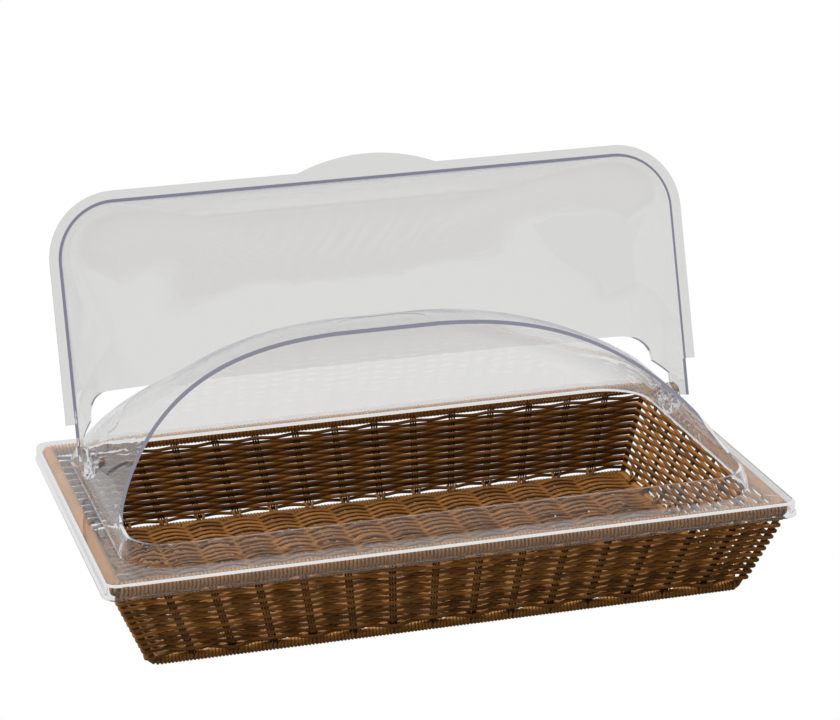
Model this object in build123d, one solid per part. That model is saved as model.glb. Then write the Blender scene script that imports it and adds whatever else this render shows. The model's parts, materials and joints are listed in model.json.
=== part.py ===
from build123d import *
import math
import os

# A countertop bread bin: a shallow basket woven on a wire frame, and a clear roll-top cover that
# lifts off it. The cover is a fixed dome with a flange and skirt, and a lid that swings about two
# pins in the dome's sides. Millimetres, +Z up, the front faces -Y, the origin is the centre of the
# plane that the basket stands on. The lid is drawn shut and then swung open.

# Basket frame
RIM_LENGTH = 537.0  # over the wrapped rim
RIM_WIDTH = 332.0
RIM_TOP = 77.7
RIM_WRAP_DIA = 10.0
BASE_LENGTH = 477.0  # over the wrapped base ring
BASE_WIDTH = 282.0
BASE_WRAP_DIA = 8.0
BASE_FLAT = 0.35  # depth that the base wrap is pressed flat underneath
CORNER_CUT_SHARE = 0.6  # of the wrap's radius: just room for the two mitres of a ring's corner
FRAME_WIRE_DIA = 4.0
POST_DIA = 4.5

# Weave
STAKE_WIDTH = 6.5  # a group of thin rods lying side by side
STAKE_THICKNESS = 2.0
STRAND_THICKNESS = 2.2
WEAVE_CLEARANCE = 0.02
FRONT_STAKE_COUNT = 14
END_STAKE_COUNT = 8
WALL_ROW_COUNT = 11
FLOOR_ROW_COUNT = 15
WEAVE_FOOT_GAP = 2.5  # open slot between the base wrap and the first row
WEAVE_HEAD_GAP = 3.0  # open slot between the last row and the rim wrap
FLOOR_EDGE_GAP = 3.0

# Cover base
COVER_THICKNESS = 2.5
COVER_SEAT_GAP = 0.3  # flange over the rim wrap
SKIRT_CLEARANCE = 2.0  # rim wrap to the inside of the skirt
SKIRT_DEPTH = 12.0  # flange top down to the skirt's lower edge
SKIRT_CORNER = 11.0
SKIRT_EDGE_ROUND = 2.0
BEAD_HEIGHT = 2.0
BEAD_PROUD = 1.2
PIN_MARK_DIA = 12.0  # shallow round marks that the mould's ejector pins left on the flange
PIN_MARK_DEPTH = 0.3
PIN_MARK_INSET = 11.0  # from the skirt's face to the centre of a mark
CORNER_MARK_INSET = 16.5
FRONT_MARK_X = 71.0
SIDE_MARK_Y = 80.0
DOME_HALF_SPAN = 252.5  # at the flange
DOME_REAR = 150.0
DOME_RISE = 114.5
DOME_CORNER = 40.0
CROWN_Y = 62.0  # where the dome's top starts to fall to the back
LIP_FRONT = 149.0
LIP_HEIGHT = 19.0
LIP_END_Y = -88.0  # the lip's sides end where the dome's side walls begin
OPENING_FOOT_Y = -84.0  # the serving opening's edge leaves the lip here
OPENING_TOP_Y = 37.0
OPENING_BLEND = 45.0

# Arch of the dome and of the lid, as powers of height and width
ARCH_HEIGHT_POWER = 1.55
ARCH_WIDTH_POWER = 3.03
ARCH_LEVELS = (0.0, 0.08, 0.17, 0.32, 0.49, 0.65, 0.78, 0.88, 0.95, 0.985, 0.997)
CORNER_GROWTH = 110.0  # how much the plan's corner radius grows up to the crown
DOME_CORNER_POWER = 1.0
LID_CORNER_POWER = 1.6
CORNER_SHARE = 0.62  # most that the corner radius may be of the half span

# Lid
LID_THICKNESS = 2.5
LID_SEAT_GAP = 0.3  # shut lid's flange over the cover's flange
LID_SIDE_CLEARANCE = 2.3  # lid's inside to the dome at the flange
LID_CROWN_CLEARANCE = 3.5
LID_FRONT = 153.0  # inside of the lid's front wall at the flange
LID_CORNER = 45.0
LID_CROWN_Y = -2.0  # the lid's rear edge, and where its top starts to fall to the front
LID_FRONT_POWER = 2.3
LID_FLANGE_WIDTH = 9.5
LID_FLANGE_END_Y = 19.5
TAB_LENGTH = 115.0
TAB_DEPTH = 11.5
NOTCH_RADIUS = 22.0
NOTCH_TOP = 141.0
TAB_ROOT = 2.0  # how far the tab runs back into the flange
ARM_END_Y = 31.0  # the arm narrows to the tongue here
TONGUE_WIDTH = 20.5

# Hinge
HINGE_Y = 50.0
HINGE_Z = 102.0
POCKET_RADIUS = 13.0
POCKET_DEPTH = 7.5  # the pocket's flat floor, in from the foot of the dome's side wall
BOSS_RADIUS = 8.0
BOSS_LENGTH = 7.0  # from the pocket's floor inwards
PIN_RADIUS = 4.0
PIN_CLEARANCE = 0.08
PIN_PROUD = 0.5  # past the boss, inside the dome
EAR_RADIUS = 11.0
EAR_CLEARANCE = 1.0
EAR_THICKNESS = 6.0
LID_OPEN_ANGLE = 106.0

FAR = 400.0  # larger than any half size of the bin


def ring_path(half_x, half_y, z, c):
    """Closed rectangle in a level plane, with each corner cut back by c, starting mid side."""
    corners = []
    for sx, sy in ((1, -1), (1, 1), (-1, 1), (-1, -1)):
        first = (sx * (half_x - c), sy * half_y, z)
        second = (sx * half_x, sy * (half_y - c), z)
        corners += [first, second] if sx * sy < 0 else [second, first]
    start = (0, -half_y, z)
    return Wire.make_polygon([start, *corners, start], close=False)


def ring(half_x, half_y, z, cut, radius):
    """Round bar bent into a level rectangle."""
    section = Plane((0, -half_y, z), x_dir=(0, 1, 0), z_dir=(1, 0, 0)) * Circle(radius)
    return sweep(section, path=ring_path(half_x, half_y, z, cut), transition=Transition.RIGHT)


def ring_run(outward, half_out, half_along, z, c, radius):
    """One side of a ring, from the middle of one cut corner to the middle of the next."""
    out = Vector(*outward)
    along = Vector(0, 0, 1).cross(out)
    plan = (
        (c / 2 - half_along, half_out - c / 2),
        (c - half_along, half_out),
        (half_along - c, half_out),
        (half_along - c / 2, half_out - c / 2),
    )
    points = [along * u + out * v + Vector(0, 0, z) for u, v in plan]
    section = Plane(points[0], z_dir=points[1] - points[0]) * Circle(radius)
    return sweep(section, path=Wire.make_polygon(points, close=False), transition=Transition.RIGHT)


base_half_x = (BASE_LENGTH - BASE_WRAP_DIA) / 2
base_half_y = (BASE_WIDTH - BASE_WRAP_DIA) / 2
base_z = BASE_WRAP_DIA / 2 - BASE_FLAT
rim_half_x = (RIM_LENGTH - RIM_WRAP_DIA) / 2
rim_half_y = (RIM_WIDTH - RIM_WRAP_DIA) / 2
rim_z = RIM_TOP - RIM_WRAP_DIA / 2


class Wall:
    """One sloping side of the basket: its plane runs from the base wire to the rim wire."""

    def __init__(self, outward, foot_out, head_out, foot_half, head_half, stakes):
        self.outward = outward
        self.foot_out = foot_out
        self.head_out = head_out
        self.along = Vector(0, 0, 1).cross(Vector(*outward))
        self.foot = Vector(*outward) * foot_out + Vector(0, 0, base_z)
        head = Vector(*outward) * head_out + Vector(0, 0, rim_z)
        self.length = (head - self.foot).length
        self.up = (head - self.foot).normalized()
        self.foot_half = foot_half
        self.head_half = head_half
        self.shares = [2 * (i + 1) / (stakes + 1) - 1 for i in range(stakes)]

    def half(self, v):
        return self.foot_half + (self.head_half - self.foot_half) * v / self.length

    def stakes(self):
        """Flat groups of rods that fan out from the base ring to the rim."""
        face = Plane(self.foot, x_dir=self.along, z_dir=self.along.cross(self.up))
        bars = []
        w = STAKE_WIDTH / 2
        for share in self.shares:
            low, high = share * self.foot_half, share * self.head_half
            outline = Polyline(
                (low - w, 0), (low + w, 0), (high + w, self.length), (high - w, self.length), close=True
            )
            bars.append(extrude(face * make_face(outline), amount=STAKE_THICKNESS / 2, both=True))
        return bars

    def rows(self, count):
        """Strands that pass in front of one stake and behind the next, row over row."""
        start = BASE_WRAP_DIA / 2 + WEAVE_FOOT_GAP
        pitch = (self.length - RIM_WRAP_DIA / 2 - WEAVE_HEAD_GAP - start) / count
        fan = (self.head_half - self.foot_half) * pitch / self.length
        post_slant = math.hypot(self.length, self.head_half - self.foot_half) / self.length
        strands = []
        for i in range(count):
            v = start + i * pitch
            half = self.half(v)
            stops = [share * self.half(v + pitch / 2) for share in self.shares]
            level = Plane(self.foot + self.up * v, x_dir=self.along, z_dir=self.up)
            end = half - POST_DIA / 2 * post_slant - WEAVE_CLEARANCE
            strands.append(extrude(level * strand_outline(stops, end, i, fan), amount=pitch))
        return strands


def strand_outline(stops, end, phase, fan=0.0):
    """Zigzag band seen along the stakes: it changes sides at each stop and ends on the middle.

    It stands off each stake so far that it clears the stake's edges, which fan is how far the
    stake leans aside within one row.
    """
    clear = (STAKE_THICKNESS + STRAND_THICKNESS) / 2 + WEAVE_CLEARANCE
    swing = clear / (1 - (STAKE_WIDTH + fan) / (stops[1] - stops[0]))
    middle = [(-end, 0)]
    middle += [(u, swing if (k + phase) % 2 else -swing) for k, u in enumerate(stops)]
    middle.append((end, 0))
    t = STRAND_THICKNESS / 2
    outline = [(u, n + t) for u, n in middle] + [(u, n - t) for u, n in reversed(middle)]
    return make_face(Polyline(*outline, close=True))


walls = {
    "front": Wall((0, -1, 0), base_half_y, rim_half_y, base_half_x, rim_half_x, FRONT_STAKE_COUNT),
    "back": Wall((0, 1, 0), base_half_y, rim_half_y, base_half_x, rim_half_x, FRONT_STAKE_COUNT),
    "left": Wall((-1, 0, 0), base_half_x, rim_half_x, base_half_y, rim_half_y, END_STAKE_COUNT),
    "right": Wall((1, 0, 0), base_half_x, rim_half_x, base_half_y, rim_half_y, END_STAKE_COUNT),
}


def floor_stakes():
    """The long walls' stakes carried across the floor from front to back."""
    bar = Box(STAKE_WIDTH, 2 * base_half_y, STAKE_THICKNESS)
    return [Pos(share * base_half_x, 0, base_z) * bar for share in walls["front"].shares]


def floor_rows():
    """Strands along the floor, over one stake and under the next."""
    reach = base_half_y - BASE_WRAP_DIA / 2 - FLOOR_EDGE_GAP
    pitch = 2 * reach / FLOOR_ROW_COUNT
    stops = [share * base_half_x for share in walls["front"].shares]
    end = base_half_x - BASE_WRAP_DIA / 2 - WEAVE_CLEARANCE
    strands = []
    for i in range(FLOOR_ROW_COUNT):
        upright = Plane((0, -reach + i * pitch, base_z), x_dir=(1, 0, 0), z_dir=(0, 1, 0))
        strands.append(extrude(upright * strand_outline(stops, end, i), amount=pitch))
    return strands


def corner_post(sx, sy):
    """Wrapped wire from a corner of the base ring to the same corner of the rim."""
    low = Vector(sx * base_half_x, sy * base_half_y, base_z)
    high = Vector(sx * rim_half_x, sy * rim_half_y, rim_z)
    axis = high - low
    return extrude(Plane(low, z_dir=axis.normalized()) * Circle(POST_DIA / 2), amount=axis.length)


def arch_half_width(half_span, k):
    """Half width of the arch at share k of its rise."""
    return half_span * (1 - k**ARCH_HEIGHT_POWER) ** (1 / ARCH_WIDTH_POWER)


def vault(half_span, front_at, rear_at, rise, corner, corner_power, base):
    """Solid under a vault: level sections with rounded corners, lofted from the foot to the crown."""
    sections = []
    for k in ARCH_LEVELS:
        x = arch_half_width(half_span, k)
        front, rear = front_at(k), rear_at(k)
        radius = min(corner + CORNER_GROWTH * k**corner_power, CORNER_SHARE * x)
        place = Plane((0, (front + rear) / 2, base + k * rise))
        sections.append(place * RectangleRounded(2 * x, rear - front, radius))
    return loft(sections)


def slab(low, high):
    """Box between two corners."""
    size = [b - a for a, b in zip(low, high)]
    middle = [(a + b) / 2 for a, b in zip(low, high)]
    return Pos(*middle) * Box(*size)


pocket_floor = DOME_HALF_SPAN - POCKET_DEPTH
boss_inner = pocket_floor - BOSS_LENGTH
flange_low = RIM_TOP + COVER_SEAT_GAP
flange_high = flange_low + COVER_THICKNESS
skirt_length = RIM_LENGTH + 2 * (SKIRT_CLEARANCE + COVER_THICKNESS)
skirt_width = RIM_WIDTH + 2 * (SKIRT_CLEARANCE + COVER_THICKNESS)


def dome_solid(inset):
    """The dome's outer form drawn in by inset, running on to the front past the opening."""
    depth = DOME_REAR - inset - CROWN_Y
    return vault(
        DOME_HALF_SPAN - inset,
        lambda k: -FAR,
        lambda k: CROWN_Y + depth * math.sqrt(1 - k**2),
        DOME_RISE - inset,
        DOME_CORNER - inset,
        DOME_CORNER_POWER,
        flange_low,
    )


def lip_solid(inset):
    """The low wall round the front, with the same slope as the dome's side walls."""
    half_span = DOME_HALF_SPAN - inset
    rise = DOME_RISE - inset
    top = LIP_HEIGHT / rise
    sections = []
    for k in (0.0, top / 2, top):
        drawn_in = half_span - arch_half_width(half_span, k)
        x, front = half_span - drawn_in, -LIP_FRONT + inset + drawn_in
        place = Plane((0, (front + FAR) / 2, flange_low + k * rise))
        sections.append(place * RectangleRounded(2 * x, FAR - front, DOME_CORNER - inset - drawn_in))
    return loft(sections)


def opening_cutter():
    """Everything in front of and above the edge of the serving opening, drawn from the side."""
    lip_top = flange_low + LIP_HEIGHT
    crown = flange_low + DOME_RISE
    slope = (crown - lip_top) / (OPENING_TOP_Y - OPENING_FOOT_Y)
    over = 30.0
    side = FilletPolyline(
        (-FAR, lip_top),
        (OPENING_FOOT_Y, lip_top),
        (OPENING_TOP_Y + over, crown + slope * over),
        radius=OPENING_BLEND,
    )
    closing = Polyline(side @ 1, (OPENING_TOP_Y + over, FAR), (-FAR, FAR), side @ 0)
    profile = Plane.YZ * make_face([*side.edges(), *closing.edges()])
    return extrude(profile, amount=FAR, both=True)


def hinge_cylinders(radius, inner, outer):
    """A pair of cylinders on the hinge axis, one at each side."""
    made = []
    for sx in (-1, 1):
        face = Plane((sx * inner, HINGE_Y, HINGE_Z), z_dir=(sx, 0, 0))
        made.append(extrude(face * Circle(radius), amount=outer - inner))
    return made


def pin_marks():
    """Cutters for the mould's ejector-pin marks on the front and the sides of the flange."""
    half_x, half_y = skirt_length / 2, skirt_width / 2
    places = (
        (half_x - PIN_MARK_INSET, SIDE_MARK_Y),
        (half_x - CORNER_MARK_INSET, CORNER_MARK_INSET - half_y),
        (FRONT_MARK_X, PIN_MARK_INSET - half_y),
    )
    return [
        Pos(sx * x, y, flange_high) * Cylinder(PIN_MARK_DIA / 2, 2 * PIN_MARK_DEPTH)
        for x, y in places
        for sx in (-1, 1)
    ]


def cover_base():
    """Flange, skirt, front lip, dome and hinge pockets, moulded in one clear piece."""
    outer_plan = RectangleRounded(skirt_length, skirt_width, SKIRT_CORNER)
    skirt_low = flange_high - SKIRT_DEPTH
    block = extrude(Pos(0, 0, skirt_low) * outer_plan, amount=SKIRT_DEPTH)
    block = fillet(block.edges().group_by(Axis.Z)[-1], SKIRT_EDGE_ROUND)
    bead_plan = RectangleRounded(
        skirt_length + 2 * BEAD_PROUD, skirt_width + 2 * BEAD_PROUD, SKIRT_CORNER + BEAD_PROUD
    )
    block += extrude(Pos(0, 0, skirt_low) * bead_plan, amount=BEAD_HEIGHT)
    t = COVER_THICKNESS
    hollow_plan = RectangleRounded(skirt_length - 2 * t, skirt_width - 2 * t, SKIRT_CORNER - t)
    block -= extrude(Pos(0, 0, skirt_low) * hollow_plan, amount=flange_low - skirt_low)

    behind = slab((-FAR, LIP_END_Y, 0), (FAR, FAR, FAR))
    before = slab((-FAR, -FAR, 0), (FAR, LIP_END_Y, FAR))
    outside = (dome_solid(0) & behind) + (lip_solid(0) & before)
    inside = (dome_solid(t) & behind) + (lip_solid(t) & before)
    block = block + outside - inside - opening_cutter()
    for pocket_back in hinge_cylinders(POCKET_RADIUS + t, pocket_floor - t, DOME_HALF_SPAN):
        block += pocket_back & dome_solid(0)
    for boss in hinge_cylinders(BOSS_RADIUS, boss_inner, pocket_floor):
        block += boss
    for pocket in hinge_cylinders(POCKET_RADIUS, pocket_floor, DOME_HALF_SPAN + t):
        block -= pocket
    for bore in hinge_cylinders(PIN_RADIUS + PIN_CLEARANCE, boss_inner - t, pocket_floor + t):
        block -= bore
    for mark in pin_marks():
        block -= mark
    return block


ear_face = pocket_floor + EAR_CLEARANCE
lid_low = flange_high + LID_SEAT_GAP
lid_half_span = DOME_HALF_SPAN + LID_SIDE_CLEARANCE
lid_rise = flange_low + DOME_RISE + LID_CROWN_CLEARANCE - lid_low


def lid_solid(grow):
    """The lid's inner form grown by grow, running on to the back past its rear edge."""
    depth = LID_FRONT + grow + LID_CROWN_Y
    return vault(
        lid_half_span + grow,
        lambda k: LID_CROWN_Y - depth * (1 - k**LID_FRONT_POWER) ** (1 / LID_FRONT_POWER),
        lambda k: FAR,
        lid_rise + grow,
        LID_CORNER + grow,
        LID_CORNER_POWER,
        lid_low,
    )


def lid_side_view():
    """What is kept of the lid's shell, seen from the side: the top, a notch, an arm and its tongue."""
    notch_low = NOTCH_TOP - NOTCH_RADIUS
    start = (LID_CROWN_Y, NOTCH_TOP)
    end = (LID_CROWN_Y + NOTCH_RADIUS, notch_low)
    centre_side = (
        LID_CROWN_Y + NOTCH_RADIUS * (1 - math.sqrt(0.5)),
        NOTCH_TOP - NOTCH_RADIUS * math.sqrt(0.5),
    )
    notch = ThreePointArc(start, centre_side, end)
    tongue_low = lid_low + LID_THICKNESS
    tongue_high = tongue_low + TONGUE_WIDTH
    rest = Polyline(
        end,
        (ARM_END_Y, tongue_high),
        (HINGE_Y, tongue_high),
        (HINGE_Y, tongue_low),
        (LID_FLANGE_END_Y, tongue_low),
        (LID_FLANGE_END_Y, 0),
        (-FAR, 0),
        (-FAR, FAR),
        (LID_CROWN_Y, FAR),
        start,
    )
    profile = Plane.YZ * make_face([notch, *rest.edges()])
    return extrude(profile, amount=FAR, both=True)


def thumb_tab(front):
    """Arc-shaped grip on the middle of the lid's front flange."""
    ends = [(side * TAB_LENGTH / 2, front) for side in (-1, 1)]
    arc = ThreePointArc(ends[0], (0, front - TAB_DEPTH), ends[1])
    root_y = front + TAB_ROOT
    root = Polyline(ends[1], (ends[1][0], root_y), (ends[0][0], root_y), ends[0])
    return extrude(Pos(0, 0, lid_low) * make_face([arc, *root.edges()]), amount=LID_THICKNESS)


def lid_closed():
    """Clear shell with a flange, a thumb tab, two arms and the hinge pins, drawn shut."""
    shell_keep = lid_side_view()
    outer = lid_solid(LID_THICKNESS)
    inner = lid_solid(0)
    half_x = lid_half_span + LID_FLANGE_WIDTH
    front = -(LID_FRONT + LID_FLANGE_WIDTH)
    plan = Pos(0, (front + FAR) / 2, lid_low) * RectangleRounded(
        2 * half_x, FAR - front, LID_CORNER + LID_FLANGE_WIDTH
    )
    flange = extrude(plan, amount=LID_THICKNESS) & slab((-FAR, -FAR, 0), (FAR, LID_FLANGE_END_Y, FAR))
    body = (outer & shell_keep) + flange + thumb_tab(front) - inner

    for ear in hinge_cylinders(EAR_RADIUS, ear_face, ear_face + EAR_THICKNESS):
        body += ear
    for pin in hinge_cylinders(PIN_RADIUS, boss_inner - PIN_PROUD, ear_face):
        body += pin
    return body


def export(node, shapes):
    """Writes one node, as one solid or as a group of separate solids."""
    solids = [solid for shape in shapes for solid in shape.solids()]
    export_step(solids[0] if len(solids) == 1 else Compound(children=solids), f"parts/{node}.step")


os.makedirs("parts", exist_ok=True)

rim_cut = CORNER_CUT_SHARE * RIM_WRAP_DIA / 2
base_cut = CORNER_CUT_SHARE * BASE_WRAP_DIA / 2
rim_wire = ring(rim_half_x, rim_half_y, rim_z, rim_cut, FRAME_WIRE_DIA / 2)
base_wire = ring(base_half_x, base_half_y, base_z, base_cut, FRAME_WIRE_DIA / 2)
rim_bar = ring(rim_half_x, rim_half_y, rim_z, rim_cut, RIM_WRAP_DIA / 2)
base_bar = ring(base_half_x, base_half_y, base_z, base_cut, BASE_WRAP_DIA / 2)
above_table = slab((-FAR, -FAR, 0), (FAR, FAR, FAR))

export("rim_wire", [rim_wire])
export("base_wire", [base_wire])
for sx, side in ((-1, "left"), (1, "right")):
    for sy, end in ((-1, "front"), (1, "back")):
        export(f"corner_post_{end}_{side}", [corner_post(sx, sy) - rim_bar - base_bar])
for name, wall in walls.items():
    head = (wall.outward, wall.head_out, wall.head_half, rim_z, rim_cut)
    foot = (wall.outward, wall.foot_out, wall.foot_half, base_z, base_cut)
    rim_run = ring_run(*head, RIM_WRAP_DIA / 2)
    base_run = ring_run(*foot, BASE_WRAP_DIA / 2)
    export(f"rim_wrap_{name}", [rim_run - rim_wire])
    export(f"base_wrap_{name}", [(base_run & above_table) - base_wire])
    export(f"stakes_{name}", [bar - rim_bar - base_bar for bar in wall.stakes()])
    export(f"weave_{name}", wall.rows(WALL_ROW_COUNT))
export("stakes_floor", [bar - base_bar for bar in floor_stakes()])
export("weave_floor", floor_rows())
export("cover_base", [cover_base()])
hinge_axis = Axis((0, HINGE_Y, HINGE_Z), (1, 0, 0))
export("lid", [lid_closed().rotate(hinge_axis, -LID_OPEN_ANGLE)])
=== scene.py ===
"""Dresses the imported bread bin: woven strands for the basket, clear plastic for cover and lid."""

import json
import math

import bpy
from mathutils import Matrix, Vector


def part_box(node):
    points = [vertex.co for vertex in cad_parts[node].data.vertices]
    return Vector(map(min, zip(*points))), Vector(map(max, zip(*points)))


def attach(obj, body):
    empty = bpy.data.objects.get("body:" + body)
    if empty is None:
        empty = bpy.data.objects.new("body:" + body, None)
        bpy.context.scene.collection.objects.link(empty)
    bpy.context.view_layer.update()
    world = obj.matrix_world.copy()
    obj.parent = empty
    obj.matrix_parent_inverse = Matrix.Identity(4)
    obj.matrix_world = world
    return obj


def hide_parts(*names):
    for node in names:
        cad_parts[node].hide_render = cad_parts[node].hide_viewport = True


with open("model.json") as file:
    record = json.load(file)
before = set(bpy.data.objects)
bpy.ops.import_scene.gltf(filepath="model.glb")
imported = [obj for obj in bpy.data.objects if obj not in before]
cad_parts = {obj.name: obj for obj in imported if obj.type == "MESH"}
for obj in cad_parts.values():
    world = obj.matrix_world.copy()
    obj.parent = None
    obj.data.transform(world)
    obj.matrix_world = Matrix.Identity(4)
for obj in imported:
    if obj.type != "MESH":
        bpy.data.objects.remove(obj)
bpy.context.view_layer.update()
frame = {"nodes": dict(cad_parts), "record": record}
MM = 0.001
TAU = 2 * math.pi
UP = Vector((0, 0, 1))

# Basket frame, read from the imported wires
WIRE_RADIUS = 2.0 * MM
rim_low, rim_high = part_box("rim_wire")
base_low, base_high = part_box("base_wire")
rim_half = Vector((rim_high.x - WIRE_RADIUS, rim_high.y - WIRE_RADIUS))
base_half = Vector((base_high.x - WIRE_RADIUS, base_high.y - WIRE_RADIUS))
rim_z = (rim_low.z + rim_high.z) / 2
base_z = (base_low.z + base_high.z) / 2
rim_wrap_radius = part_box("rim_wrap_front")[1].z - rim_z
base_wrap_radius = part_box("base_wrap_front")[1].z - base_z

# Stakes: groups of thin rods from the base ring to the rim, and across the floor
LONG_STAKES = 14
SHORT_STAKES = 8
RODS_PER_STAKE = 3
ROD_RADIUS = 0.85 * MM
ROD_SPACING = 2.1 * MM
WALL_ROD_STEPS = 6
FLOOR_ROD_STEPS = 8

# Wall strands
WALL_STRANDS = 22
STRAND_RADIUS = 1.48 * MM
STRAND_SIDES = 8
STRAND_SWING = 2.25 * MM  # a strand's centre line off the wall's middle at a stake
CORNER_SWING = 3.5 * MM  # and at a corner post
LONG_LEAN = 0.85  # how far the swing leans with a long wall: at 1 it is square to the wall
END_LEAN = 1.2  # and with an end wall
CORNER_BEND = 4.0 * MM  # radius of the strands that pass inside a post
CORNER_STEPS = 5
SPAN_STEPS = 14  # from one stake to the next
WALL_FOOT_GAP = 1.5 * MM  # to the base ring, halfway between two stakes
WALL_HEAD_GAP = 1.2 * MM  # to the rim
EDGE_PULL = 1.3 * MM  # of the lowest and the highest strand to the rings, at a stake

# Legs: the rods that rise from the floor into a wall, two at each stake
LEG_RADIUS = 1.2 * MM
LEG_SPREAD = (0.7 * MM, 4.0 * MM)  # off the stake's middle at the foot and at the head
LEG_HEAD = 3.5 * MM  # over the base wrap
LEG_STEPS = 4

# Floor strands, laid in pairs
FLOOR_PAIRS = 60
FLOOR_STRAND_RADIUS = 1.13 * MM
FLOOR_STRAND_SIDES = 6
FLOOR_TUCK = 0.6 * MM  # the floor's front and back edges reach this far into the base wrap
FLOOR_END = 0.6  # of the base wrap's radius, from the wire's middle in to the strands' ends
FLOOR_SWING = 2.9 * MM
FLOOR_RISE = 0.9 * MM  # the floor's middle over the base wire's
FLOOR_SPAN_STEPS = 12

# Flat strand wound round the rim and the base ring
WRAP_STRAND = 1.3 * MM  # half its width
WRAP_THICKNESS = 1.0 * MM  # and half its thickness
WRAP_SIDES = 6
RIM_TURN_PITCH = 3.0 * MM
BASE_TURN_PITCH = 2.8 * MM
STEPS_PER_TURN = 12
RIM_CORNER = 4.0 * MM  # radius of the winding's way round a corner of the rim
BASE_CORNER = 5.0 * MM  # and round one of the base ring
RING_CORNER_STEPS = 8
NOTCH = 1.5 * MM  # the base turns part by this much to let a stake through, at their top
NOTCH_RUN = 4.0 * MM  # along the ring, the parting dies away over about this length

# Painted light of the plastic: where light is trapped in the sheet, it glows with a set colour, a
# painted highlight at the flange's folds and a dim bluish painted glow at the edges and bends above
# them
EDGE_MIRRORINGS = 2.5  # after more than this, light counts as trapped
FOLD_PAINTED_HIGHLIGHT = (0.78, 0.78, 0.78)  # painted highlight, glowing from the flange's folds
EDGE_PAINTED_GLOW = (0.24, 0.24, 0.3)  # dim bluish painted glow from the edges and bends above it
FOLD_TOP = 88 * MM  # the flange's folds lie below this height


class NodeTree:
    """The nodes of a material or a world, and the links between them."""

    def __init__(self, owner):
        owner.use_nodes = True
        self.nodes = owner.node_tree.nodes
        self.links = owner.node_tree.links

    def add(self, kind, values=None, **settings):
        """Makes a node with its settings and the constant values of its inputs."""
        node = self.nodes.new(kind)
        for name, setting in settings.items():
            setattr(node, name, setting)
        self.fill(node, values or {})
        return node

    def fill(self, node, values):
        """Sets constant values on a node's inputs."""
        for name, value in values.items():
            node.inputs[name].default_value = value

    def link(self, source, output, node, name):
        """Joins a node's output to another node's input."""
        self.links.new(source.outputs[output], node.inputs[name])


def new_material(name):
    """Node material with its tree and its principled shader."""
    material = bpy.data.materials.new(name)
    tree = NodeTree(material)
    return material, tree, tree.nodes["Principled BSDF"]


def set_ramp(ramp, *stops):
    """Gives a colour ramp its two stops, each a position and a colour."""
    for element, (position, colour) in zip(ramp.color_ramp.elements, stops):
        element.position = position
        element.color = (*colour, 1)


def rattan(name, dark, light):
    """Plastic rattan: each strand has its own tone, with fine streaks and a soft gloss."""
    material, tree, shader = new_material(name)
    gloss = {"Roughness": 0.4, "Specular IOR Level": 0.25, "Specular Tint": (1.0, 0.72, 0.4, 1)}
    tree.fill(shader, gloss)
    place = tree.add("ShaderNodeTexCoord")
    island = tree.add("ShaderNodeNewGeometry")
    broad = tree.add("ShaderNodeTexNoise", {"Scale": 60.0, "Detail": 3.0})
    fine = tree.add("ShaderNodeTexNoise", {"Scale": 900.0, "Detail": 2.0})
    blend = tree.add("ShaderNodeMix", {"Factor": 0.45}, data_type="FLOAT")
    tone = tree.add("ShaderNodeMix", {"Factor": 0.35}, data_type="FLOAT")
    ramp = tree.add("ShaderNodeValToRGB")
    set_ramp(ramp, (0.25, dark), (0.75, light))
    bump = tree.add("ShaderNodeBump", {"Strength": 0.25, "Distance": 0.2 * MM})
    tree.link(place, "Object", broad, "Vector")
    tree.link(place, "Object", fine, "Vector")
    tree.link(island, "Random Per Island", blend, "A")
    tree.link(broad, "Fac", blend, "B")
    tree.link(blend, "Result", tone, "A")
    tree.link(fine, "Fac", tone, "B")
    tree.link(tone, "Result", ramp, "Fac")
    tree.link(ramp, "Color", shader, "Base Color")
    tree.link(fine, "Fac", bump, "Height")
    tree.link(bump, "Normal", shader, "Normal")
    return material


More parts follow.
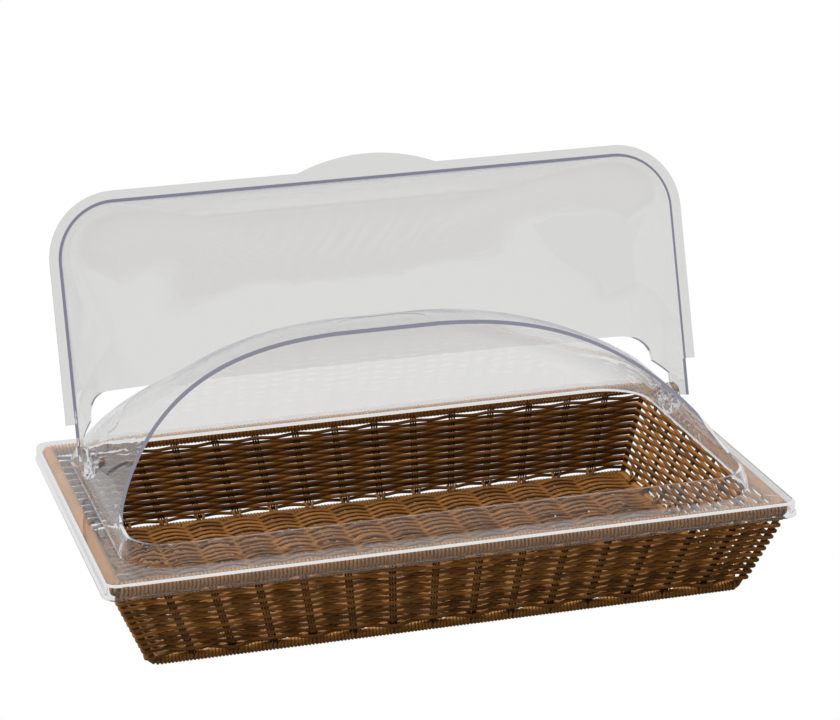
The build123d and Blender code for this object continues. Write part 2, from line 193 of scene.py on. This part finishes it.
def clear_plastic(name, tint):
    """Clear moulded plastic with a faint grey body and small ripples in its gloss."""
    material, tree, shader = new_material(name)
    tree.fill(shader, {"Base Color": (*tint, 1), "Transmission Weight": 1.0})
    tree.fill(shader, {"IOR": 1.585, "Roughness": 0.0})
    place = tree.add("ShaderNodeTexCoord")
    ripple = tree.add("ShaderNodeTexNoise", {"Scale": 18.0})
    bump = tree.add("ShaderNodeBump", {"Strength": 0.015, "Distance": 1.0 * MM})
    tree.link(place, "Object", ripple, "Vector")
    tree.link(ripple, "Fac", bump, "Height")
    tree.link(bump, "Normal", shader, "Normal")

    # where light is mirrored on and on inside the sheet, the sheet glows: a painted highlight at
    # the folds, a dim painted glow at the edges
    path = tree.add("ShaderNodeLightPath")
    trapped = tree.add("ShaderNodeMath", {1: EDGE_MIRRORINGS}, operation="GREATER_THAN")
    height = tree.add("ShaderNodeSeparateXYZ")
    above = tree.add("ShaderNodeMath", {1: FOLD_TOP}, operation="GREATER_THAN")
    shades = {"A": (*FOLD_PAINTED_HIGHLIGHT, 1), "B": (*EDGE_PAINTED_GLOW, 1)}
    shade = tree.add("ShaderNodeMix", shades, data_type="RGBA")
    painted_glow = tree.add("ShaderNodeEmission")
    edge_mix = tree.add("ShaderNodeMixShader")
    tree.link(place, "Object", height, "Vector")
    tree.link(height, "Z", above, 0)
    tree.link(above, "Value", shade, "Factor")
    tree.link(shade, "Result", painted_glow, "Color")
    tree.link(path, "Glossy Depth", trapped, 0)
    tree.link(trapped, "Value", edge_mix, "Fac")
    tree.link(shader, "BSDF", edge_mix, 1)
    tree.link(painted_glow, "Emission", edge_mix, 2)

    # the light of lamps and of matt surfaces goes straight through
    see_through = tree.add("ShaderNodeBsdfTransparent", {"Color": (*tint, 1)})
    either = tree.add("ShaderNodeMath", operation="MAXIMUM")
    mix = tree.add("ShaderNodeMixShader")
    tree.link(path, "Is Shadow Ray", either, 0)
    tree.link(path, "Is Diffuse Ray", either, 1)
    tree.link(either, "Value", mix, "Fac")
    tree.link(edge_mix, "Shader", mix, 1)
    tree.link(see_through, "BSDF", mix, 2)
    tree.link(mix, "Shader", tree.nodes["Material Output"], "Surface")
    return material


def steel(name):
    """Drawn wire with fine marks along it, kept very dark as painted shade for the notches where it
    shows.
    """
    material, tree, shader = new_material(name)
    tree.fill(shader, {"Metallic": 1.0, "Roughness": 0.35})
    noise = tree.add("ShaderNodeTexNoise", {"Scale": 400.0})
    ramp = tree.add("ShaderNodeValToRGB")
    # very dark tones: painted shade, so that the wire reads dark in the notches of the base turns
    set_ramp(ramp, (0.0, (0.08, 0.08, 0.08)), (1.0, (0.2, 0.2, 0.2)))
    tree.link(noise, "Fac", ramp, "Fac")
    tree.link(ramp, "Color", shader, "Base Color")
    return material


STRAND_BROWN = rattan("RattanStrand", dark=(0.06, 0.022, 0.0045), light=(0.28, 0.112, 0.022))
# The stake rods get darker tones than the strands: painted shade for the shadow they lie in behind
# and between the strands.
SHADED_STAKE_BROWN = rattan("RattanStakeShaded", dark=(0.035, 0.014, 0.004), light=(0.1, 0.042, 0.011))
BINDING_BROWN = rattan("RattanBinding", dark=(0.09, 0.035, 0.007), light=(0.35, 0.15, 0.034))
CLEAR_COVER = clear_plastic("ClearCover", tint=(0.985, 0.987, 0.99))
CLEAR_LID = clear_plastic("ClearLid", tint=(0.88, 0.88, 0.87))
SHADED_FRAME_STEEL = steel("FrameWireShaded")

basket_meshes = []


class Bundle:
    """Gathers swept strands into one mesh."""

    def __init__(self):
        self.points = []
        self.faces = []

    def sweep(self, path, wide, thick=None, sides=STRAND_SIDES, closed=False, out=None):
        """Oval section along a path. out gives the section's thin direction at each point."""
        thick = wide if thick is None else thick
        count = len(path)
        first = len(self.points)
        carried = UP
        for i, here in enumerate(path):
            ahead = path[(i + 1) % count] if closed or i < count - 1 else here
            behind = path[i - 1] if closed or i > 0 else here
            along = (ahead - behind).normalized()
            normal = out[i] if out else carried
            normal = (normal - along * normal.dot(along)).normalized()
            across = along.cross(normal)
            carried = normal
            for k in range(sides):
                a = TAU * k / sides
                point = here + across * (wide * math.cos(a)) + normal * (thick * math.sin(a))
                self.points.append(point)
        rings = count if closed else count - 1
        for i in range(rings):
            a, b = first + i * sides, first + (i + 1) % count * sides
            for k in range(sides):
                m = (k + 1) % sides
                self.faces.append((a + k, a + m, b + m, b + k))
        if not closed:
            self.faces.append(tuple(first + k for k in reversed(range(sides))))
            self.faces.append(tuple(first + (count - 1) * sides + k for k in range(sides)))

    def build(self, name, material, replaced):
        """Makes the object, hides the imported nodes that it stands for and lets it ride."""
        mesh = bpy.data.meshes.new(name)
        mesh.from_pydata([tuple(p) for p in self.points], [], self.faces)
        mesh.shade_smooth()
        mesh.materials.append(material)
        obj = bpy.data.objects.new(name, mesh)
        bpy.context.scene.collection.objects.link(obj)
        basket_meshes.append(obj)
        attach(obj, "basket")
        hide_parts(*replaced)


class Side:
    """One side of the basket's plan. Its run goes counter-clockwise, as seen from above."""

    def __init__(self, name, outward, axis, stakes, lean):
        self.name = name
        self.out = Vector(outward)
        self.along = UP.cross(self.out)
        self.axis = axis  # 0 where the side runs along X, 1 where it runs along Y
        self.shares = [2 * (i + 1) / (stakes + 1) - 1 for i in range(stakes)]
        spread = self.half_out(rim_half) - self.half_out(base_half)
        self.lean = lean * spread / (rim_z - base_z)

    def half_run(self, half):
        return half[self.axis]

    def half_out(self, half):
        return half[1 - self.axis]


SIDES = [
    Side("front", (0, -1, 0), 0, LONG_STAKES, LONG_LEAN),
    Side("right", (1, 0, 0), 1, SHORT_STAKES, END_LEAN),
    Side("back", (0, 1, 0), 0, LONG_STAKES, LONG_LEAN),
    Side("left", (-1, 0, 0), 1, SHORT_STAKES, END_LEAN),
]


def level(share):
    """Half sizes and height of the walls' middle at a share of the way from base to rim."""
    return base_half.lerp(rim_half, share), base_z + (rim_z - base_z) * share


def swing_between(first, last, t):
    """A strand's swing at a share t of its way from one stake to the next."""
    return first + (last - first) * (1 - math.cos(math.pi * t)) / 2


def straight(start, end, steps):
    """Points at even distances from start to end."""
    return [start.lerp(end, i / steps) for i in range(steps + 1)]


def rod_offsets():
    """How far the rods of a stake lie beside its middle."""
    return [(r - (RODS_PER_STAKE - 1) / 2) * ROD_SPACING for r in range(RODS_PER_STAKE)]


def loop_point(side, u, half, z, offset):
    """Point on a level loop at u along one side, held off the wall by offset."""
    here = side.out * (side.half_out(half) + offset) + side.along * u
    return here + UP * (z - side.lean * offset)


def corner_points(side, after, half, z, swing):
    """A strand's way round the post between two sides, outside it or inside it."""
    corner = loop_point(side, side.half_run(half), half, z, 0)
    bend = swing if swing > 0 else CORNER_BEND
    middle = corner + (side.out + side.along) * (swing - bend)
    points = []
    for k in range(CORNER_STEPS + 1):
        share = k / CORNER_STEPS
        a = math.pi / 2 * share
        lean = side.lean + (after.lean - side.lean) * share
        way = side.out * math.cos(a) + side.along * math.sin(a)
        points.append(middle + way * bend - UP * (lean * swing))
    return points


def wall_strand(index):
    """One strand round all four walls, in front of one stake or post and behind the next."""
    wall = math.hypot(rim_half.y - base_half.y, rim_z - base_z)
    low = (base_wrap_radius + WALL_FOOT_GAP + STRAND_RADIUS) / wall
    high = 1 - (rim_wrap_radius + WALL_HEAD_GAP + STRAND_RADIUS) / wall
    half, z = level(low + (high - low) * index / (WALL_STRANDS - 1))
    pull = {0: -EDGE_PULL, WALL_STRANDS - 1: EDGE_PULL}.get(index, 0)
    sign = 1 if index % 2 == 0 else -1
    path = []
    for side, after in zip(SIDES, SIDES[1:] + SIDES[:1]):
        run = side.half_run(half)
        marks = [-run, *[s * run for s in side.shares], run]
        swings = [CORNER_SWING, *[STRAND_SWING] * len(side.shares), CORNER_SWING]
        for n, (a, b) in enumerate(zip(marks, marks[1:])):
            first, last = sign * swings[n], -sign * swings[n + 1]
            inside = (n == 0 and first < 0) or (n == len(marks) - 2 and last < 0)
            for i in range(SPAN_STEPS):
                t = i / SPAN_STEPS
                u = a + (b - a) * t
                if inside and run - abs(u) < CORNER_SWING + CORNER_BEND:
                    continue
                drawn = pull * (1 + math.cos(TAU * t)) / 2
                path.append(loop_point(side, u, half, z + drawn, swing_between(first, last, t)))
            sign = -sign
        path += corner_points(side, after, half, z + pull, sign * CORNER_SWING)
    return path


def leg(side, share, hand):
    """A rod from the floor's edge up the inside of the base ring to the wall."""
    high = base_z + base_wrap_radius + LEG_HEAD
    half, z = level((high - base_z) / (rim_z - base_z))
    foot_u = share * side.half_run(base_half) + hand * LEG_SPREAD[0]
    head_u = share * side.half_run(half) + hand * LEG_SPREAD[1]
    foot = loop_point(side, foot_u, base_half, base_z + LEG_RADIUS, -base_wrap_radius - LEG_RADIUS)
    head = loop_point(side, head_u, half, z, -STRAND_SWING)
    return straight(foot, head, LEG_STEPS)


def wall_weave():
    """The strands of all four walls, and the legs that rise into them."""
    strands = Bundle()
    for i in range(WALL_STRANDS):
        strands.sweep(wall_strand(i), STRAND_RADIUS, closed=True)
    for side in SIDES:
        for share in side.shares:
            for hand in (-1, 1):
                strands.sweep(leg(side, share, hand), LEG_RADIUS)
    strands.build("wall_weave", STRAND_BROWN, [f"weave_{s.name}" for s in SIDES])


def wall_stakes():
    """Rods lying side by side at each stake, from the base ring to the rim."""
    for side in SIDES:
        rods = Bundle()
        for share in side.shares:
            for aside in rod_offsets():
                foot_u = share * side.half_run(base_half) + aside
                head_u = share * side.half_run(rim_half) + aside
                foot = loop_point(side, foot_u, base_half, base_z, 0)
                head = loop_point(side, head_u, rim_half, rim_z, 0)
                path = straight(foot, head, WALL_ROD_STEPS)
                rods.sweep(path, ROD_RADIUS, out=[side.out] * len(path))
        rods.build(f"stake_rods_{side.name}", SHADED_STAKE_BROWN, [f"stakes_{side.name}"])


def floor_strand(y, sign, stops):
    """A strand along the floor, over one stake and under the next, level at both ends."""
    path = []
    final = len(stops) - 2
    for n, (a, b) in enumerate(zip(stops, stops[1:])):
        first = 0.0 if n == 0 else sign
        last = 0.0 if n == final else -sign
        for k in range(FLOOR_SPAN_STEPS + (n == final)):
            t = k / FLOOR_SPAN_STEPS
            z = base_z + FLOOR_RISE + FLOOR_SWING * swing_between(first, last, t)
            path.append(Vector((a + (b - a) * t, y, z)))
        sign = -sign
    return path


def floor_weave():
    """Pairs of strands along the floor."""
    reach = base_half.y - base_wrap_radius + FLOOR_TUCK
    pitch = 2 * reach / FLOOR_PAIRS
    end = base_half.x - base_wrap_radius * FLOOR_END
    stops = [-end, *[s * base_half.x for s in SIDES[0].shares], end]
    strands = Bundle()
    for i in range(FLOOR_PAIRS):
        y = -reach + (i + 0.5) * pitch
        sign = 1 if i % 2 == 0 else -1
        for beside in (-FLOOR_STRAND_RADIUS, FLOOR_STRAND_RADIUS):
            path = floor_strand(y + beside, sign, stops)
            strands.sweep(path, FLOOR_STRAND_RADIUS, sides=FLOOR_STRAND_SIDES)
    strands.build("floor_weave", STRAND_BROWN, ["weave_floor"])


def floor_stakes():
    """Rods lying side by side at each stake, across the floor."""
    rods = Bundle()
    z = base_z + FLOOR_RISE
    for share in SIDES[0].shares:
        for aside in rod_offsets():
            x = share * base_half.x + aside
            front, rear = Vector((x, -base_half.y, z)), Vector((x, base_half.y, z))
            rods.sweep(straight(front, rear, FLOOR_ROD_STEPS), ROD_RADIUS)
    rods.build("floor_stake_rods", SHADED_STAKE_BROWN, ["stakes_floor"])


def ring_side(side, half, z, corner):
    """Centre line of one side of a ring, from mid corner to mid corner, with round corners."""
    run, out = side.half_run(half), side.half_out(half)
    points = []
    for end in (-1, 1):
        arc = []
        for k in range(RING_CORNER_STEPS + 1):
            a = math.pi / 4 * k / RING_CORNER_STEPS
            u = run - corner + corner * math.sin(a)
            v = out - corner + corner * math.cos(a)
            arc.append(side.along * (end * u) + side.out * v + UP * z)
        points += reversed(arc) if end < 0 else arc
    return points


def resample(points, step):
    """Points at even distances along a polyline, with their directions."""
    total = sum((b - a).length for a, b in zip(points, points[1:]))
    count = max(2, round(total / step))
    made, at, passed = [], 0, 0.0
    for i in range(count + 1):
        target = total * i / count
        while at < len(points) - 2 and passed + (points[at + 1] - points[at]).length < target:
            passed += (points[at + 1] - points[at]).length
            at += 1
        piece = points[at + 1] - points[at]
        place = points[at] + piece * ((target - passed) / piece.length)
        made.append((place, piece.normalized()))
    return made


def wound_ring(name, half, z, radius, pitch, corner, notch):
    """A flat strand wound round a ring, one run for each side. Its turns part at the stakes."""
    for side in SIDES:
        stakes = [share * side.half_run(half) for share in side.shares]
        line = resample(ring_side(side, half, z, corner), pitch / STEPS_PER_TURN)
        path, normals = [], []
        for i, (here, along) in enumerate(line):
            a = TAU * i / STEPS_PER_TURN
            normal = along.cross(UP).normalized() * math.cos(a) + UP * math.sin(a)
            off = min((here.dot(side.along) - s for s in stakes), key=abs)
            height = (1 + math.sin(a)) / 2
            push = notch * height * math.tanh(off / MM) * math.exp(-abs(off) / NOTCH_RUN)
            place = here + along * push + normal * (radius - WRAP_THICKNESS)
            place.z = max(place.z, WRAP_THICKNESS)  # no turn reaches below z = 0
            path.append(place)
            normals.append(normal)
        winding = Bundle()
        winding.sweep(path, WRAP_STRAND, WRAP_THICKNESS, sides=WRAP_SIDES, out=normals)
        replaced = [f"{name}_wrap_{side.name}"]
        winding.build(f"{name}_turns_{side.name}", BINDING_BROWN, replaced)


wall_weave()
wall_stakes()
floor_weave()
floor_stakes()
wound_ring("rim", rim_half, rim_z, rim_wrap_radius, RIM_TURN_PITCH, RIM_CORNER, 0)
wound_ring("base", base_half, base_z, base_wrap_radius, BASE_TURN_PITCH, BASE_CORNER, NOTCH)

LOOKS = {
    "rattan_strand": STRAND_BROWN,
    "rattan_stake": SHADED_STAKE_BROWN,
    "rattan_binding": BINDING_BROWN,
    "frame_wire": SHADED_FRAME_STEEL,
    "clear_cover": CLEAR_COVER,
    "clear_lid": CLEAR_LID,
}
for part in frame["record"]["subparts"]:
    node = frame["nodes"][part["node"]]
    node.data.materials.clear()
    node.data.materials.append(LOOKS[part["material_slot"]])

# Camera at the photograph's angle
AZIMUTH, ELEVATION, ROLL = math.radians(-15.19), math.radians(17.72), math.radians(-1.38)
DISTANCE = 2.44098
TARGET = Vector((0.01523, 0.0, 0.17161))
NUDGE = Vector((0.0012, 0.00144))  # of the target, to the right and upward in the picture
FOCAL_PIXELS = 3055.09
IMAGE_WIDTH = 840
SENSOR_WIDTH = 36.0
back = Vector(
    (
        math.sin(AZIMUTH) * math.cos(ELEVATION),
        -math.cos(AZIMUTH) * math.cos(ELEVATION),
        math.sin(ELEVATION),
    )
)
right = Vector((math.cos(AZIMUTH), math.sin(AZIMUTH), 0))
upward = back.cross(right)
right, upward = (
    right * math.cos(ROLL) + upward * math.sin(ROLL),
    upward * math.cos(ROLL) - right * math.sin(ROLL),
)
aim = TARGET + (right * NUDGE.x + upward * NUDGE.y)
turn = Matrix((right, upward, back)).transposed().to_4x4()
camera = bpy.data.objects.new("Camera", bpy.data.cameras.new("Camera"))
camera.data.sensor_width = SENSOR_WIDTH
camera.data.lens = FOCAL_PIXELS / IMAGE_WIDTH * SENSOR_WIDTH
camera.matrix_world = Matrix.Translation(aim + back * DISTANCE) @ turn
bpy.context.scene.collection.objects.link(camera)
bpy.context.scene.camera = camera

# Studio. Past the object the eye sees white, and through the plastic a light grey. What the
# plastic mirrors is bright behind the object and overhead, and dark on the camera's side.
SEEN_DIRECT = 1.0
SEEN_THROUGH = 0.8
SKY_LOW = 0.12  # the mirrored sky where it is darkest
SKY_OVERHEAD = 0.45  # what it gains overhead
SKY_BEHIND = 0.5  # and behind the object
STUDIO_FLOOR_SIZE = 12
STUDIO_FLOOR_Z = -0.2 * MM
STUDIO_FLOOR_GREY = (0.42, 0.42, 0.42, 1)
MIRRORED_FRONT, MIRRORED_REAR = 0.15, 0.8  # the floor as the plastic mirrors it
MIRRORED_FROM_Y, MIRRORED_TO_Y = -0.3, 0.5


def studio_floor():
    """White to the eye, light grey through the plastic, graded in its mirror, else matt grey."""
    bpy.ops.mesh.primitive_plane_add(size=STUDIO_FLOOR_SIZE, location=(0, 0, STUDIO_FLOOR_Z))
    floor = bpy.context.object
    floor.name = "studio_floor"
    material, tree, shader = new_material("StudioFloor")
    tree.fill(shader, {"Base Color": STUDIO_FLOOR_GREY, "Roughness": 0.9})
    glow = tree.add("ShaderNodeEmission", {"Color": (1, 1, 1, 1)})
    path = tree.add("ShaderNodeLightPath")
    place = tree.add("ShaderNodeTexCoord")
    split = tree.add("ShaderNodeSeparateXYZ")
    mirrored = tree.add("ShaderNodeMapRange")
    tree.fill(mirrored, {"From Min": MIRRORED_FROM_Y, "From Max": MIRRORED_TO_Y})
    tree.fill(mirrored, {"To Min": MIRRORED_FRONT, "To Max": MIRRORED_REAR})
    through = tree.add("ShaderNodeMix", {"B": SEEN_THROUGH}, data_type="FLOAT")
    seen = tree.add("ShaderNodeMix", {"B": SEEN_DIRECT}, data_type="FLOAT")
    mix = tree.add("ShaderNodeMixShader")
    tree.link(place, "Object", split, "Vector")
    tree.link(split, "Y", mirrored, "Value")
    tree.link(path, "Is Transmission Ray", through, "Factor")
    tree.link(mirrored, "Result", through, "A")
    tree.link(path, "Is Camera Ray", seen, "Factor")
    tree.link(through, "Result", seen, "A")
    tree.link(seen, "Result", glow, "Strength")
    tree.link(path, "Is Diffuse Ray", mix, "Fac")
    tree.link(glow, "Emission", mix, 1)
    tree.link(shader, "BSDF", mix, 2)
    tree.link(mix, "Shader", tree.nodes["Material Output"], "Surface")
    floor.data.materials.append(material)
    return floor


def studio_sky():
    """The surroundings: plain to the eye and through the plastic, graded in its mirror."""
    world = bpy.data.worlds.new("StudioLight")
    tree = NodeTree(world)
    backdrop = tree.nodes["Background"]
    tree.fill(backdrop, {"Color": (1, 1, 1, 1)})
    path = tree.add("ShaderNodeLightPath")
    place = tree.add("ShaderNodeTexCoord")
    split = tree.add("ShaderNodeSeparateXYZ")
    overhead = tree.add("ShaderNodeMapRange", {"To Min": SKY_LOW, "To Max": SKY_LOW + SKY_OVERHEAD})
    behind = tree.add("ShaderNodeMapRange", {"To Min": 0.0, "To Max": SKY_BEHIND})
    graded = tree.add("ShaderNodeMath", operation="ADD")
    plain = tree.add("ShaderNodeMath", operation="MULTIPLY_ADD")
    tree.fill(plain, {1: SEEN_DIRECT - SEEN_THROUGH, 2: SEEN_THROUGH})
    looked_at = tree.add("ShaderNodeMath", operation="MAXIMUM")
    pick = tree.add("ShaderNodeMix", data_type="FLOAT")
    tree.link(place, "Generated", split, "Vector")
    tree.link(split, "Z", overhead, "Value")
    tree.link(split, "Y", behind, "Value")
    tree.link(overhead, "Result", graded, 0)
    tree.link(behind, "Result", graded, 1)
    tree.link(path, "Is Camera Ray", plain, 0)
    tree.link(path, "Is Camera Ray", looked_at, 0)
    tree.link(path, "Is Transmission Ray", looked_at, 1)
    tree.link(looked_at, "Value", pick, "Factor")
    tree.link(graded, "Value", pick, "A")
    tree.link(plain, "Value", pick, "B")
    tree.link(pick, "Result", backdrop, "Strength")
    bpy.context.scene.world = world


def area_light(name, place, aim, width, depth, power):
    """Soft lamp that looks at a point."""
    data = bpy.data.lights.new(name, "AREA")
    data.shape = "RECTANGLE"
    data.size = width
    data.size_y = depth
    data.energy = power
    lamp = bpy.data.objects.new(name, data)
    lamp.location = place
    lamp.rotation_euler = (Vector(aim) - Vector(place)).to_track_quat("-Z", "Y").to_euler()
    bpy.context.scene.collection.objects.link(lamp)
    return lamp


floor = studio_floor()
studio_sky()
bpy.context.scene.view_settings.view_transform = "Standard"

# The lamps light the basket and the studio floor. The plastic only mirrors and passes on what is
# round it.
LAMP_AIM = (0, 0, 0.05)
lit_things = bpy.data.collections.new("lit_by_lamps")
for thing in [floor, *basket_meshes]:
    lit_things.objects.link(thing)
for lamp in (
    area_light("back_light", (-0.3, 0.75, 1.6), (0, 0, 0), width=2.0, depth=0.8, power=50),
    area_light("key_light", (-0.9, -0.8, 1.4), LAMP_AIM, width=1.0, depth=1.0, power=6),
    area_light("left_light", (-1.6, 0.3, 1.1), LAMP_AIM, width=1.0, depth=1.0, power=20),
):
    lamp.light_linking.receiver_collection = lit_things
